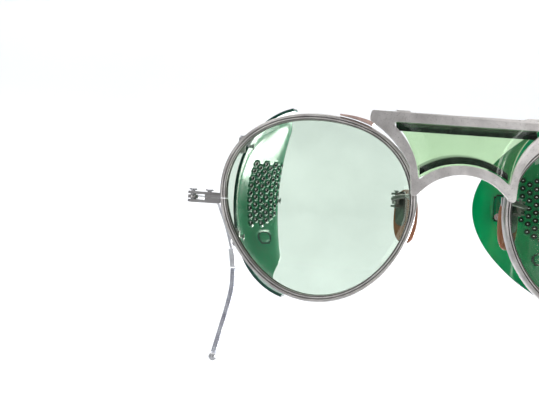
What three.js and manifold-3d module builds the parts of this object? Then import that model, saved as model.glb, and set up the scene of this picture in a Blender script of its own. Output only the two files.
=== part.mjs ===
// Glacier glasses: nickel-silver front with a celluloid nose-bridge guard, round
// green lenses, folding celluloid side shields, rocking nose pads and cable temples.
// Millimetres, +Z up. The wearer looks along -Y; left and right are as seen from the
// front, so +X is the right side. The origin is on the centre plane, between the nose
// pads and level with the lens centres. Pieces are drawn for +X and mirrored for -X.

import * as THREE from 'three';
import { mergeVertices } from 'three/addons/utils/BufferGeometryUtils.js';
import Module from 'manifold-3d';

const wasm = await Module();
wasm.setup();

// ---------------------------------------------------------------- driving sizes
const GAP = 0.3;                 // clearance between separate solids
const DEG = Math.PI / 180;

// Eye frames: lens centres and the wrap of each lens plane.
const EYE_X = 37.1;
const EYE_Y = -5;
const WRAP = 10 * DEG;

// Outline of the rim: a near-round "pilot" loop.
const RIM_RADIUS = 25.3;
const RIM_OVAL = 0.6;            // wider than it is tall
const RIM_LEAN = 0.36;           // longer towards the outer top corner
const RIM_TRIANGLE = 0.85;       // flattened top, rounder bottom
const RIM_FACE = 1.8;            // radial width of the rim's face
const RIM_DEPTH = 3.2;
const RIM_LIP = 0.5;             // front and rear lips of the lens groove
const GROOVE_FLOOR = 1.1;        // metal left outside the groove
const RIM_SPLIT = 0.6 * DEG;     // half the gap where the rim closes
const RIM_STEPS = 72;

const LENS_INSET = GROOVE_FLOOR + GAP;
const LENS_THICKNESS = 1.6;

// Bridge plate, flat in the XZ plane.
const PLATE_FRONT = -12;
const PLATE_THICKNESS = 1.1;
const PLATE_TOP = 25.3;
const PLATE_HALF_WIDTH = 24.9;
const ARM_RADIUS = 25.5;         // the side arms follow the rims
const ARCH_LOW = { x: 11.3, z: 4.9, apex: 10.1 };
const ARCH_HIGH = { x: 11.2, z: 8.6, apex: 12.6 };
const WINDOW = { side: 11.9, corner: 18.6, top: 22.7 };
const TAB = { near: 15, far: 18.5, rise: 0.4, depth: 3.4 };

// Celluloid guard behind the window.
const GUARD_WALL = 0.9;
const GUARD_DEPTH = 5.2;
const GUARD_MARGIN = 0.7;        // how far it tucks behind the plate

// End pieces and temple hinges.
const HINGE = { x: 69.9, y: 4, z: -0.1 };
const HALF_HEIGHT = 1.45;        // one half of the closing block, above the split
const KNUCKLE_RADIUS = 1.35;
const TONGUE_HALF = 0.45;
const BLOCK = { front: 0, back: 2.95 };   // depth of the closing block
const RIM_SCREW_X = 65.4;
const SCREW_RADIUS = 0.55;
const SCREW_HEAD = { radius: 1.05, height: 0.4 };

// Temples.
const WIRE_RADIUS = 0.65;
const CABLE_RADIUS = 1.1;
const BUTT = { length: 7.5, height: 2.2, width: 1.5 };

// Side shields, in their own hinge frame: u runs back from the hinge, v inward.
const SHIELD_HINGE = { x: 57.6, y: 4.8 };
const SHIELD_LENGTH = 51.2;
const SHIELD_WALL = 0.85;
const SHIELD_TOP = 25.7;
const SHIELD_BOTTOM = -26.4;
const SHIELD_TIP_Z = 1.9;
const SHIELD_REST_FOLD = { right: 58 * DEG, left: 0 };
const KEEPER = { u: 42.6, z: 2.1, half: 2.1, radius: 1.7, thickness: 0.5, hook: 1.6, rivet: -2.4 };

// Nose pads.
const PAD = { y: 1.2, z: -1.6, height: 14.4, width: 8.8, thickness: 1.1 };
const PAD_X = { right: 14.6, left: 12.8 };
const PAD_SPLAY = { right: 46 * DEG, left: 37 * DEG };
const PAD_PIN = { z: 4.2, radius: 0.4, offset: 1.9, back: 1.2 };

// ---------------------------------------------------------------- materials
function metal(color, roughness = 0.35) {
  return new THREE.MeshStandardMaterial({ color, roughness, metalness: 1 });
}
function plastic(color, roughness = 0.2) {
  return new THREE.MeshStandardMaterial({ color, roughness, metalness: 0 });
}
function clear(color, opacity) {
  return new THREE.MeshStandardMaterial({
    color, opacity, roughness: 0.05, metalness: 0, transparent: true,
  });
}

// ---------------------------------------------------------------- solids
function toManifold(geometry) {
  const bare = geometry.clone();
  bare.deleteAttribute('normal');
  bare.deleteAttribute('uv');
  const merged = mergeVertices(bare, 1e-4);
  return new wasm.Manifold(new wasm.Mesh({
    numProp: 3,
    vertProperties: new Float32Array(merged.attributes.position.array),
    triVerts: new Uint32Array(merged.index.array),
  }));
}

function toGeometry(manifold) {
  const mesh = manifold.getMesh();
  const geometry = new THREE.BufferGeometry();
  geometry.setAttribute('position', new THREE.BufferAttribute(mesh.vertProperties, 3));
  geometry.setIndex(new THREE.BufferAttribute(mesh.triVerts, 1));
  return geometry;
}

function join(...geometries) {
  return toGeometry(geometries.map(toManifold).reduce((a, b) => a.add(b)));
}

function cut(geometry, ...cutters) {
  return toGeometry(cutters.map(toManifold).reduce((a, b) => a.subtract(b), toManifold(geometry)));
}

function mirrored(geometry) {
  const copy = (geometry.index ? geometry : mergeVertices(geometry)).clone();
  copy.scale(-1, 1, 1);
  const index = copy.index.array;
  for (let i = 0; i < index.length; i += 3) {
    [index[i + 1], index[i + 2]] = [index[i + 2], index[i + 1]];
  }
  return copy;
}

// A box between two corners.
function box(low, high) {
  const size = high.map((value, i) => value - low[i]);
  return new THREE.BoxGeometry(...size).translate(...low.map((value, i) => value + size[i] / 2));
}

// An upright cylinder between two heights.
function post(x, y, low, high, radius, sides = 24) {
  const geometry = new THREE.CylinderGeometry(radius, radius, high - low, sides);
  return geometry.rotateX(Math.PI / 2).translate(x, y, (low + high) / 2);
}

// A cylinder along X between two depths.
function crossPin(low, high, y, z, radius, sides = 16) {
  const geometry = new THREE.CylinderGeometry(radius, radius, high - low, sides);
  return geometry.rotateZ(Math.PI / 2).translate((low + high) / 2, y, z);
}

// A flat shape drawn in X and Z, from depth `front` to `front + thickness`.
function plate(shape, front, thickness, curveSegments = 12) {
  const options = { depth: thickness, bevelEnabled: false, curveSegments };
  return new THREE.ExtrudeGeometry(shape, options).rotateX(Math.PI / 2)
    .translate(0, front + thickness, 0);
}

// A flat shape drawn in X and Y, from height `low` to `high`.
function slab(shape, low, high, curveSegments = 12) {
  const options = { depth: high - low, bevelEnabled: false, curveSegments };
  return new THREE.ExtrudeGeometry(shape, options).translate(0, 0, low);
}

function tube(points, radius, steps, sides = 10) {
  const section = new THREE.Shape().absarc(0, 0, radius, 0, 2 * Math.PI);
  const extrudePath = new THREE.CatmullRomCurve3(points.map((p) => new THREE.Vector3(...p)));
  return new THREE.ExtrudeGeometry(section, { steps, extrudePath, curveSegments: sides });
}

// Joins rings of points into a skin that is open at both ends.
function skin(rings) {
  const count = rings[0].length;
  const positions = rings.flat().flatMap((p) => [p.x, p.y, p.z]);
  const index = [];
  for (let i = 0; i < rings.length - 1; i += 1) {
    const here = i * count;
    const next = here + count;
    for (let j = 0; j < count; j += 1) {
      const k = (j + 1) % count;
      index.push(here + j, next + j, here + k, here + k, next + j, next + k);
    }
  }
  const geometry = new THREE.BufferGeometry();
  geometry.setAttribute('position', new THREE.Float32BufferAttribute(positions, 3));
  geometry.setIndex(index);
  return geometry;
}

// The same skin closed at both ends by the flat section.
function capped(rings, section) {
  const geometry = skin(rings);
  const index = Array.from(geometry.index.array);
  const last = (rings.length - 1) * rings[0].length;
  for (const [a, b, c] of THREE.ShapeUtils.triangulateShape(section, [])) {
    index.push(a, b, c);
    index.push(last + a, last + c, last + b);
  }
  geometry.setIndex(index);
  return geometry;
}

// Turns a solid the right way out whichever way its rings were wound.
function facingOut(geometry) {
  const p = geometry.attributes.position;
  const index = geometry.index.array;
  const [a, b, c] = [new THREE.Vector3(), new THREE.Vector3(), new THREE.Vector3()];
  let volume = 0;
  for (let i = 0; i < index.length; i += 3) {
    a.fromBufferAttribute(p, index[i]);
    b.fromBufferAttribute(p, index[i + 1]);
    c.fromBufferAttribute(p, index[i + 2]);
    volume += a.dot(b.cross(c));
  }
  if (volume > 0) return geometry;
  for (let i = 0; i < index.length; i += 3) {
    [index[i + 1], index[i + 2]] = [index[i + 2], index[i + 1]];
  }
  return geometry;
}

// ---------------------------------------------------------------- rims and lenses
// Distance from the lens centre to the rim's outer edge; angle 0 is outward.
function rimRadius(angle) {
  return RIM_RADIUS + RIM_OVAL * Math.cos(2 * angle) + RIM_LEAN * Math.sin(2 * angle)
    + RIM_TRIANGLE * Math.sin(3 * angle);
}

function rimPoint(angle, inset, depth) {
  const radius = rimRadius(angle) - inset;
  return new THREE.Vector3(radius * Math.cos(angle), depth, radius * Math.sin(angle));
}

function rimGeometry() {
  const groove = [RIM_LIP, RIM_DEPTH - RIM_LIP];
  const section = [
    [0, 0.3], [0.3, 0], [RIM_FACE, 0], [RIM_FACE, groove[0]], [GROOVE_FLOOR, groove[0]],
    [GROOVE_FLOOR, groove[1]], [RIM_FACE, groove[1]], [RIM_FACE, RIM_DEPTH], [0, RIM_DEPTH],
  ];
  const rings = [];
  for (let i = 0; i <= RIM_STEPS; i += 1) {
    const angle = RIM_SPLIT + (2 * Math.PI - 2 * RIM_SPLIT) * (i / RIM_STEPS);
    rings.push(section.map(([inset, depth]) => rimPoint(angle, inset, depth)));
  }
  return facingOut(capped(rings, section.map(([u, d]) => new THREE.Vector2(u, d))));
}

function lensGeometry() {
  const shape = new THREE.Shape();
  for (let i = 0; i < RIM_STEPS; i += 1) {
    const p = rimPoint((2 * Math.PI * i) / RIM_STEPS, LENS_INSET, 0);
    if (i === 0) shape.moveTo(p.x, p.z);
    else shape.lineTo(p.x, p.z);
  }
  return plate(shape, (RIM_DEPTH - LENS_THICKNESS) / 2, LENS_THICKNESS);
}

// Curved lug brazed along the top of the rim, under the end of the bridge plate.
function topLugGeometry() {
  const rings = [];
  const steps = 8;
  const [start, end] = [101 * DEG, 122 * DEG];
  for (let i = 0; i <= steps; i += 1) {
    const t = i / steps;
    const angle = start + (end - start) * t;
    const thickness = 0.35 + 0.75 * t;
    const front = -0.4 - 2.8 * t;
    const corners = [[-GAP, front], [-GAP - thickness, front], [-GAP - thickness, 2.6], [-GAP, 2.6]];
    rings.push(corners.map(([inset, depth]) => rimPoint(angle, inset, depth)));
  }
  const section = [[0, 0], [1, 0], [1, 1], [0, 1]].map(([x, y]) => new THREE.Vector2(x, y));
  return facingOut(capped(rings, section));
}

// ---------------------------------------------------------------- bridge
function vec(x, z) {
  return new THREE.Vector2(x, z);
}

function bend(from, control, to) {
  return new THREE.QuadraticBezierCurve(from, control, to);
}

// Points along the given curves, then their mirror image, as one closed outline.
function symmetricOutline(curves, divisions) {
  const half = curves.flatMap((curve) => curve.getPoints(divisions).slice(1));
  const inner = half.slice(0, -1).reverse().map((p) => vec(-p.x, p.y));
  const start = curves[0].getPoint(0);
  return [start, ...half, ...inner];
}

// Nose arch: from the centre line out and down to the foot of an arm.
function arch(size, grow = 0) {
  const apex = size.apex - grow;
  return bend(vec(0, apex), vec(size.x * 0.6, apex), vec(size.x + grow, size.z - grow * 0.6));
}

function plateOutline() {
  const toe = vec(12.7, 4.0);
  const heel = vec(13.6, 5.0);
  const arm = new THREE.EllipseCurve(
    EYE_X, 0, ARM_RADIUS, ARM_RADIUS, 153 * DEG, 119 * DEG, true,
  );
  const shoulder = arm.getPoint(1);
  const chamfer = vec(PLATE_HALF_WIDTH + 0.3, shoulder.y + 1.3);
  const topCorner = vec(PLATE_HALF_WIDTH - 0.5, PLATE_TOP);
  return symmetricOutline([
    arch(ARCH_LOW),
    bend(vec(ARCH_LOW.x, ARCH_LOW.z), vec(11.9, 4.1), toe),
    bend(toe, vec(13.5, 4.0), heel),
    bend(heel, vec(13.7, 9.0), arm.getPoint(0)),
    arm,
    bend(shoulder, vec(chamfer.x, shoulder.y + 0.5), chamfer),
    bend(chamfer, vec(chamfer.x - 0.2, PLATE_TOP), topCorner),
    new THREE.LineCurve(topCorner, vec(0, PLATE_TOP)),
  ], 8);
}

// The window in the plate; `grow` widens it evenly for the guard behind it.
function windowOutline(grow = 0) {
  const low = arch(ARCH_HIGH, grow).getPoint(1);
  const side = vec(WINDOW.side + grow, 9.2);
  const corner = vec(WINDOW.corner + grow, WINDOW.top - 1.2);
  const top = vec(WINDOW.corner - 1.0, WINDOW.top + grow);
  return symmetricOutline([
    arch(ARCH_HIGH, grow),
    bend(low, vec(side.x - 0.1, low.y - 0.3), side),
    bend(side, vec(12.8 + grow, 16.3), corner),
    bend(corner, vec(corner.x + 0.8, top.y), top),
    new THREE.LineCurve(top, vec(0, WINDOW.top + grow)),
  ], 8);
}

function bridgePlateGeometry() {
  const shape = new THREE.Shape(plateOutline());
  shape.holes.push(new THREE.Path(windowOutline()));
  const tabs = [-1, 1].map((side) => {
    const ends = [side * TAB.near, side * TAB.far].sort((a, b) => a - b);
    return box([ends[0], PLATE_FRONT, PLATE_TOP - 0.5],
      [ends[1], PLATE_FRONT + TAB.depth, PLATE_TOP + TAB.rise]);
  });
  return join(plate(shape, PLATE_FRONT, PLATE_THICKNESS), ...tabs);
}

// A tray: front panel, a shelf along the top and an arched shelf over the nose.
function bridgeGuardGeometry() {
  const front = PLATE_FRONT + PLATE_THICKNESS + GAP;
  const back = front + GUARD_DEPTH;
  const panel = plate(new THREE.Shape(windowOutline(GUARD_MARGIN)), front, GUARD_WALL);
  const shelfTop = WINDOW.top + GUARD_MARGIN;
  const shelf = box([-WINDOW.corner + 1.5, front + 0.2, shelfTop - GUARD_WALL],
    [WINDOW.corner - 1.5, back, shelfTop]);
  const under = arch({ x: 10.4, z: 11.2, apex: 14.2 });
  const over = arch({ x: 10.4, z: 11.2 + GUARD_WALL, apex: 14.2 + GUARD_WALL });
  const band = symmetricOutline([
    under,
    new THREE.LineCurve(under.v2, over.v2),
    bend(over.v2, over.v1, over.v0),
  ], 10);
  return join(panel, shelf, plate(new THREE.Shape(band), front + 0.2, GUARD_DEPTH - 0.2));
}

// ---------------------------------------------------------------- end pieces
// One half of the closing block: brazed to the rim, drilled for the closing screw,
// and ending in a hinge knuckle that leaves room for the temple's tongue.
function endPieceGeometry(upper) {
  const rimSide = EYE_X + (rimRadius(0) + GAP) * Math.cos(WRAP);
  const split = GAP / 2;
  const step = RIM_SCREW_X + SCREW_HEAD.radius + 0.1;
  const clearance = TONGUE_HALF + GAP;
  const profile = new THREE.Shape();
  profile.moveTo(rimSide, split);
  profile.lineTo(step, split);
  profile.lineTo(step, clearance);
  profile.lineTo(HINGE.x + 0.6, clearance);
  profile.lineTo(HINGE.x + 0.6, HALF_HEIGHT);
  profile.lineTo(rimSide + 0.5, HALF_HEIGHT);
  profile.quadraticCurveTo(rimSide, HALF_HEIGHT, rimSide, HALF_HEIGHT - 0.5);
  const body = plate(profile, BLOCK.front, BLOCK.back - BLOCK.front);
  const knuckle = post(HINGE.x, HINGE.y, clearance, HALF_HEIGHT, KNUCKLE_RADIUS);
  const screwY = (BLOCK.front + BLOCK.back) / 2;
  const hole = (x, y) => post(x, y, -5, 5, SCREW_RADIUS + GAP, 16);
  const half = cut(join(body, knuckle), hole(HINGE.x, HINGE.y), hole(RIM_SCREW_X, screwY));
  if (!upper) half.scale(1, 1, -1);
  return facingOut(half.translate(0, 0, HINGE.z));
}

// A slotted screw standing in both halves, head on top.
function screwGeometry(x, y) {
  const seat = HALF_HEIGHT + GAP;
  const top = seat + SCREW_HEAD.height;
  const shank = post(x, y, -HALF_HEIGHT + 0.1, seat + 0.1, SCREW_RADIUS);
  const head = post(x, y, seat, top, SCREW_HEAD.radius);
  const slot = box([x - 2, y - 0.18, top - 0.25], [x + 2, y + 0.18, top + 1]);
  return cut(join(shank, head), slot).translate(0, 0, HINGE.z);
}

// ---------------------------------------------------------------- temples
// Route of the wire and the ear cable, from the centre plane of the glasses.
const WIRE_ROUTE = [
  [69.6, 13.8, -0.3], [68.5, 40, -0.9], [67.2, 76, -1.7], [66.6, 90, -2.1], [65.9, 97, -3.4],
  [64.6, 103, -7], [62.6, 107.5, -12.5], [60.7, 110, -19],
];
const FERRULE_ROUTE = [[60.6, 110.1, -19.4], [60.0, 110.6, -22.7], [59.6, 110.8, -25.9]];
const CABLE_ROUTE = [
  [59.55, 110.8, -26.5], [59.6, 109.9, -33.5], [60.9, 107.6, -41], [62.6, 104.5, -48.3],
  [64.3, 100.5, -55.6],
];
const FERRULE_RADIUS = 1.25;
const BEAD_RADIUS = 1.45;

function fromHinge(points) {
  return points.map(([x, y, z]) => [x - HINGE.x, y - HINGE.y, z - HINGE.z]);
}

// Flat tongue in the hinge, running into a tapered shank that holds the wire.
function templeButtGeometry() {
  const tongue = post(0, 0, -TONGUE_HALF, TONGUE_HALF, KNUCKLE_RADIUS);
  const neck = box([-0.6, 0.5, -TONGUE_HALF], [0.6, 3.2, TONGUE_HALF]);
  const half = BUTT.width / 2;
  const profile = new THREE.Shape();
  profile.moveTo(-half, 2.0);
  profile.lineTo(half, 2.0);
  profile.lineTo(half * 0.8 - 0.25, 2.0 + BUTT.length);
  profile.lineTo(-half * 0.8 - 0.25, 2.0 + BUTT.length);
  const shank = slab(profile, -BUTT.height / 2, BUTT.height / 2);
  const hole = post(0, 0, -2, 2, SCREW_RADIUS + GAP, 16);
  return cut(join(tongue, neck, shank), hole);
}

function templeWireGeometry() {
  return tube(fromHinge(WIRE_ROUTE), WIRE_RADIUS, 48, 5);
}

function beadGeometry() {
  const route = fromHinge(CABLE_ROUTE).map((p) => new THREE.Vector3(...p));
  const end = route[route.length - 1];
  const along = end.clone().sub(route[route.length - 2]).normalize();
  const centre = end.clone().addScaledVector(along, GAP + BEAD_RADIUS);
  return new THREE.SphereGeometry(BEAD_RADIUS, 14, 10).translate(...centre);
}

// ---------------------------------------------------------------- side shields
// Inward offset of the shield in its front part, rounded like the rim.
function shieldFrontInset(u, z) {
  const reach = z > 1 ? 25.4 : 28.2;
  const depth = 15 + 5.5 * Math.min(u / 16, 1);
  return depth * (1 - Math.sqrt(1 - ((z - 1) / reach) ** 2)) - 1;
}

// The same in its rear part, nearly straight along the cheek bone.
function shieldRearInset(u, z) {
  return 11 + (z * z) / 160 - 0.02 * Math.max(u - 42, 0) ** 2;
}

function shieldInset(u, z) {
  const t = Math.min(Math.max((u - 19.8) / 18.4, 0), 1);
  const share = t * t * (3 - 2 * t);
  return shieldFrontInset(u, z) * (1 - share) + shieldRearInset(u, z) * share;
}

function shieldFront(z) {
  return 0.8 + 0.0155 * z * z;
}

function shieldRear(z) {
  return SHIELD_LENGTH - 0.052 * Math.abs(z - SHIELD_TIP_Z) ** 1.905;
}

// Heights of the shell's rows, closer together where it curls in.
function shieldRow(share) {
  const middle = (SHIELD_TOP + SHIELD_BOTTOM) / 2;
  const half = (SHIELD_TOP - SHIELD_BOTTOM) / 2;
  const turn = 75 * DEG;
  return middle + (half * Math.sin((2 * share - 1) * turn)) / Math.sin(turn);
}

// Right-hand hinge frame: x is outward, y is back.
function shieldPoint(u, z, offset) {
  const step = 0.01;
  const du = (shieldInset(u + step, z) - shieldInset(u - step, z)) / (2 * step);
  const dz = (shieldInset(u, z + step) - shieldInset(u, z - step)) / (2 * step);
  const normal = new THREE.Vector3(1, du, dz).normalize();
  return new THREE.Vector3(-shieldInset(u, z), u, z).addScaledVector(normal, offset);
}

function shieldShell() {
  const rows = 22;
  const columns = 18;
  const half = SHIELD_WALL / 2;
  const rings = [];
  for (let i = 0; i <= rows; i += 1) {
    const z = shieldRow(i / rows);
    const front = shieldFront(z);
    const rear = shieldRear(z);
    const line = [];
    for (let j = 0; j <= columns; j += 1) line.push(front + (rear - front) * (j / columns));
    rings.push([
      ...line.map((u) => shieldPoint(u, z, half)),
      ...line.reverse().map((u) => shieldPoint(u, z, -half)),
    ]);
  }
  const geometry = skin(rings);
  const index = Array.from(geometry.index.array);
  const last = rows * rings[0].length;
  const across = (j) => rings[0].length - 1 - j;
  for (let j = 0; j < columns; j += 1) {
    const [a, b, c, d] = [j, j + 1, across(j + 1), across(j)];
    index.push(a, b, c, a, c, d);
    index.push(last + a, last + c, last + b, last + a, last + d, last + c);
  }
  geometry.setIndex(index);
  return facingOut(geometry);
}

// The frame of a fitting on the shield's outer face.
function onShield(geometry, u, z) {
  const slope = (shieldInset(u + 0.01, z) - shieldInset(u - 0.01, z)) / 0.02;
  return geometry.rotateZ(Math.atan(slope)).translate(-shieldInset(u, z), u, z);
}

const SHIELD_HINGES = [
  { name: 'upper', z: 14.5, leaf: 0.3 },
  { name: 'lower', z: -10.5, leaf: 1.05 },
];
const BARREL = { radius: 1, half: 2, tongue: 0.6, pin: 0.4 };
const LEAF = { length: 7, thickness: 0.4, half: 1.6, rivet: 4.6 };
const RIVET = { radius: 0.5, head: 0.95, cap: 0.4 };

function shieldGeometry() {
  const holes = SHIELD_HINGES.map(({ z }) => crossPin(-8, 8, LEAF.rivet, z, RIVET.radius + GAP, 12));
  const keeperHole = onShield(crossPin(-3, 3, 0, KEEPER.rivet, RIVET.radius + GAP, 12),
    KEEPER.u, KEEPER.z);
  return cut(shieldShell(), ...holes, keeperHole);
}

// Fixed half of a shield hinge: two barrels on a web brazed behind the rim.
function shieldBracketGeometry(z) {
  const inner = BARREL.tongue + GAP;
  const reach = -2.5;
  const web = box([-0.8, reach, z - BARREL.half], [0.8, -BARREL.radius - GAP, z + BARREL.half]);
  const ears = [[inner, BARREL.half], [-BARREL.half, -inner]].map(([low, high]) => join(
    post(0, 0, z + low, z + high, BARREL.radius, 20),
    box([-0.8, reach, z + low], [0.8, 0, z + high]),
  ));
  return cut(join(web, ...ears), post(0, 0, z - 3, z + 3, BARREL.pin + GAP, 12));
}

function shieldPinGeometry(z) {
  const reach = BARREL.half + 0.3;
  return join(
    post(0, 0, z - reach, z + reach, BARREL.pin, 12),
    post(0, 0, z + reach, z + reach + 0.3, BARREL.pin + 0.3, 12),
  );
}

// Moving half: one barrel and a leaf along the shield's outer face.
function shieldLeafGeometry({ z, leaf }) {
  const [low, high] = [leaf - LEAF.thickness, leaf];
  const barrel = post(0, 0, z - BARREL.tongue, z + BARREL.tongue, BARREL.radius, 20);
  const neck = box([low, 0.5, z - BARREL.tongue], [high, 2.2, z + BARREL.tongue]);
  const blade = box([low, 1.7, z - LEAF.half], [high, LEAF.length, z + LEAF.half]);
  return cut(
    join(barrel, neck, blade),
    post(0, 0, z - 3, z + 3, BARREL.pin + GAP, 12),
    crossPin(-3, 3, LEAF.rivet, z, RIVET.radius + GAP, 12),
  );
}

function rivetGeometry(inner, outer, y, z) {
  const bite = RIVET.cap / 2;
  return join(
    crossPin(inner - bite, outer + bite, y, z, RIVET.radius, 12),
    crossPin(inner - RIVET.cap, inner, y, z, RIVET.head, 14),
    crossPin(outer, outer + RIVET.cap, y, z, RIVET.head, 14),
  );
}

function leafRivetGeometry({ z, leaf }) {
  const inner = -shieldInset(LEAF.rivet, z) - SHIELD_WALL - 0.45;
  return rivetGeometry(inner, leaf + GAP, LEAF.rivet, z);
}

// Oblong base riveted to the shield, with an open hook that clips on the temple wire.
function keeperGeometry() {
  const low = SHIELD_WALL / 2 + 1.3 * GAP;
  const base = new THREE.Shape();
  base.absarc(0, KEEPER.half, KEEPER.radius, 0, Math.PI);
  base.absarc(0, -KEEPER.half, KEEPER.radius, Math.PI, 2 * Math.PI);
  const pad = plate(base, 0, KEEPER.thickness, 8).rotateZ(Math.PI / 2)
    .translate(low + KEEPER.thickness, 0, 0);
  const [inner, outer] = [WIRE_RADIUS + GAP, WIRE_RADIUS + GAP + 0.5];
  const hook = new THREE.Shape();
  hook.absarc(0, 0, outer, 130 * DEG, 410 * DEG);
  hook.absarc(0, 0, inner, 410 * DEG, 130 * DEG, true);
  const clip = plate(hook, -1.3, 2.6, 10).translate(low + outer, 0, KEEPER.hook);
  const hole = crossPin(-3, 3, 0, KEEPER.rivet, RIVET.radius + GAP, 12);
  return onShield(cut(join(pad, clip), hole), KEEPER.u, KEEPER.z);
}

function keeperRivetGeometry() {
  const inner = -SHIELD_WALL / 2 - 1.4 * GAP;
  const outer = SHIELD_WALL / 2 + 2.4 * GAP + KEEPER.thickness;
  return onShield(rivetGeometry(inner, outer, 0, KEEPER.rivet), KEEPER.u, KEEPER.z);
}

// ---------------------------------------------------------------- nose pads
// Pad frame: x points away from the nose, y runs back along the pad, z is up.
function ovalPlate(halfWidth, low, high, from, to) {
  const centre = (low + high) / 2;
  const rise = (high - low) / 2;
  const shape = new THREE.Shape();
  const steps = 28;
  for (let i = 0; i < steps; i += 1) {
    const angle = (2 * Math.PI * i) / steps;
    const power = (value) => Math.sign(value) * Math.abs(value) ** 0.8;
    const x = halfWidth * power(Math.cos(angle));
    const z = centre + rise * power(Math.sin(angle));
    if (i === 0) shape.moveTo(x, z);
    else shape.lineTo(x, z);
  }
  return plate(shape, 0, to - from).rotateZ(-Math.PI / 2).translate(from, 0, 0);
}

function padGeometry() {
  const half = PAD.height / 2;
  return ovalPlate(PAD.width / 2, -half, half, -PAD.thickness / 2, PAD.thickness / 2);
}

// Metal backing in the upper half of the pad, with two ears for the pin.
function padBackGeometry() {
  const from = PAD.thickness / 2 + GAP;
  const to = from + 0.5;
  const backing = ovalPlate(PAD.width / 2 - 0.8, -2.6, PAD.height / 2 - 0.6, from, to);
  const pinX = from + PAD_PIN.offset;
  const ears = [-1.9, 1.35].map((low) => box(
    [to - 0.1, PAD_PIN.back - 0.9, PAD_PIN.z + low],
    [pinX + 0.95, PAD_PIN.back + 0.9, PAD_PIN.z + low + 0.55],
  ));
  const hole = post(pinX, PAD_PIN.back, -2, 12, PAD_PIN.radius + GAP, 12);
  return cut(join(backing, ...ears), hole);
}

function padPinGeometry() {
  const pinX = PAD.thickness / 2 + GAP + PAD_PIN.offset;
  return join(
    post(pinX, PAD_PIN.back, PAD_PIN.z - 2.2, PAD_PIN.z + 2.2, PAD_PIN.radius, 12),
    post(pinX, PAD_PIN.back, PAD_PIN.z + 2.2, PAD_PIN.z + 2.55, PAD_PIN.radius + 0.3, 12),
  );
}

// Place of a pad's pin, as seen on the +X side.
function padPinPlace(label) {
  const splay = PAD_SPLAY[label];
  const [x, y] = [PAD.thickness / 2 + GAP + PAD_PIN.offset, PAD_PIN.back];
  return new THREE.Vector3(
    PAD_X[label] + x * Math.cos(splay) + y * Math.sin(splay),
    PAD.y - x * Math.sin(splay) + y * Math.cos(splay),
    PAD.z + PAD_PIN.z,
  );
}

// Wire arm from a foot behind the rim to the boss on the pad's pin.
function padArmGeometry(label) {
  const pin = padPinPlace(label);
  const boss = post(pin.x, pin.y, pin.z - 1.05, pin.z + 1.05, 1.05, 16);
  const foot = box([11.2, -5.7, 2.9], [13.1, -4.9, 5.2]);
  const arm = tube([
    [pin.x + 0.5, pin.y - 0.3, pin.z], [pin.x + 1.0, pin.y - 2.4, pin.z + 0.3],
    [15.2, -3.9, 3.6], [12.4, -5.2, 4.0],
  ], 0.6, 12, 5);
  return cut(join(boss, foot, arm), post(pin.x, pin.y, -5, 12, PAD_PIN.radius + GAP, 12));
}

// ---------------------------------------------------------------- assembly
const NICKEL = metal('#a79f97');
const BRAZE = metal('#a88a80', 0.45);
const STEEL = metal('#8f8d8b', 0.3);
const CABLE = metal('#9a9ca3', 0.4);
const GUARD = clear('#a8d49b', 0.75);
const GLASS = clear('#d9ebe0', 0.35);
const SHIELD = plastic('#00965a');
const PAD_CELLULOID = plastic('#a5694b', 0.35);

const glasses = new THREE.Group();

function piece(parent, side, name, geometry, material) {
  const mesh = new THREE.Mesh(side.sign > 0 ? geometry : mirrored(geometry), material);
  mesh.name = side.label ? `${side.label}_${name}` : name;
  parent.add(mesh);
}

function frameAt(side, x, y, z, turn = 0) {
  const group = new THREE.Group();
  group.position.set(side.sign * x, y, z);
  group.rotation.z = side.sign * turn;
  glasses.add(group);
  return group;
}

const CENTRE = { sign: 1, label: '' };
piece(glasses, CENTRE, 'bridge_plate', bridgePlateGeometry(), NICKEL);
piece(glasses, CENTRE, 'bridge_guard', bridgeGuardGeometry(), GUARD);

function addFront(side) {
  const eye = frameAt(side, EYE_X, EYE_Y, 0, WRAP);
  piece(eye, side, 'rim', rimGeometry(), NICKEL);
  piece(eye, side, 'lens', lensGeometry(), GLASS);
  piece(eye, side, 'top_lug', topLugGeometry(), BRAZE);
  piece(glasses, side, 'upper_end_piece', endPieceGeometry(true), NICKEL);
  piece(glasses, side, 'lower_end_piece', endPieceGeometry(false), NICKEL);
  const screwY = (BLOCK.front + BLOCK.back) / 2;
  piece(glasses, side, 'rim_screw', screwGeometry(RIM_SCREW_X, screwY), STEEL);
  piece(glasses, side, 'hinge_screw', screwGeometry(HINGE.x, HINGE.y), STEEL);
  piece(glasses, side, 'pad_arm', padArmGeometry(side.label), NICKEL);
}

function addShield(side) {
  const { x, y } = SHIELD_HINGE;
  const fixed = frameAt(side, x, y, 0);
  const moving = frameAt(side, x, y, 0, SHIELD_REST_FOLD[side.label]);
  for (const hinge of SHIELD_HINGES) {
    const label = `shield_${hinge.name}`;
    piece(fixed, side, `${label}_bracket`, shieldBracketGeometry(hinge.z), NICKEL);
    piece(fixed, side, `${label}_pin`, shieldPinGeometry(hinge.z), STEEL);
    piece(moving, side, `${label}_leaf`, shieldLeafGeometry(hinge), NICKEL);
    piece(moving, side, `${label}_rivet`, leafRivetGeometry(hinge), STEEL);
  }
  piece(moving, side, 'side_shield', shieldGeometry(), SHIELD);
  piece(moving, side, 'temple_keeper', keeperGeometry(), NICKEL);
  piece(moving, side, 'keeper_rivet', keeperRivetGeometry(), STEEL);
}

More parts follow.
